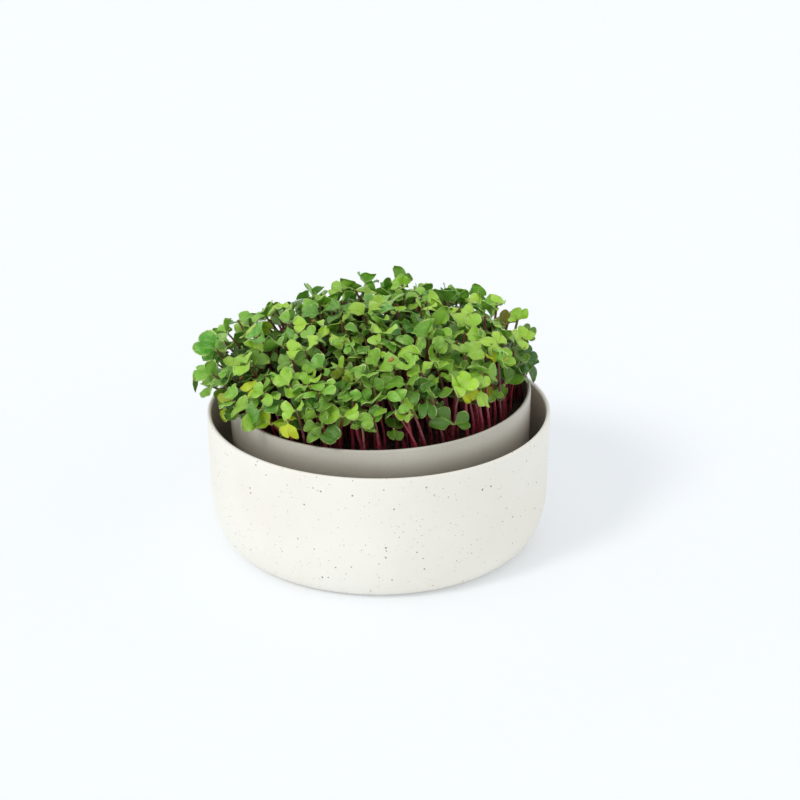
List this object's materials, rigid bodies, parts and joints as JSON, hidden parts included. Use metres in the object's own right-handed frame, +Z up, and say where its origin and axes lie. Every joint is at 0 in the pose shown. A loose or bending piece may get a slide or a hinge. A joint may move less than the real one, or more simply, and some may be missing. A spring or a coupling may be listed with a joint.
{
  "type": "radish microgreens tray",
  "caption": "Young radish seedlings with notched seed leaves and purple stems, growing in a round drained tray that stands in a wider speckled bowl.",
  "frame": {"origin": "centre of the bowl's flat underside, on the surface it stands on", "axes": "+Z up, -Y towards the front, where the seedlings stay behind the tray's rim, +X to the right seen from the front"},
  "size_m": [0.2047, 0.2, 0.1461],
  "materials": {
    "speckled_cream": "matte, finely speckled",
    "taupe": "semi-gloss",
    "growing_medium": "moist and crumbly",
    "seedling": "waxy green leaves on purple stems"
  },
  "bodies": {
    "root": {"outer_bowl": "speckled_cream", "inner_tray": "taupe", "growing_medium": "growing_medium", "seedlings_01": "seedling", "seedlings_02": "seedling", "seedlings_03": "seedling", "seedlings_04": "seedling", "seedlings_05": "seedling", "seedlings_06": "seedling", "seedlings_07": "seedling", "seedlings_08": "seedling", "seedlings_09": "seedling", "seedlings_10": "seedling", "seedlings_11": "seedling", "seedlings_12": "seedling", "seedlings_13": "seedling", "seedlings_14": "seedling", "seedlings_15": "seedling", "seedlings_16": "seedling", "seedlings_17": "seedling", "seedlings_18": "seedling", "seedlings_19": "seedling", "seedlings_20": "seedling", "seedlings_21": "seedling", "seedlings_22": "seedling", "seedlings_23": "seedling", "seedlings_24": "seedling", "seedlings_25": "seedling", "seedlings_26": "seedling", "seedlings_27": "seedling", "seedlings_28": "seedling", "seedlings_29": "seedling", "seedlings_30": "seedling", "seedlings_31": "seedling", "seedlings_32": "seedling", "seedlings_33": "seedling", "seedlings_34": "seedling"}
  },
  "joints": []
}
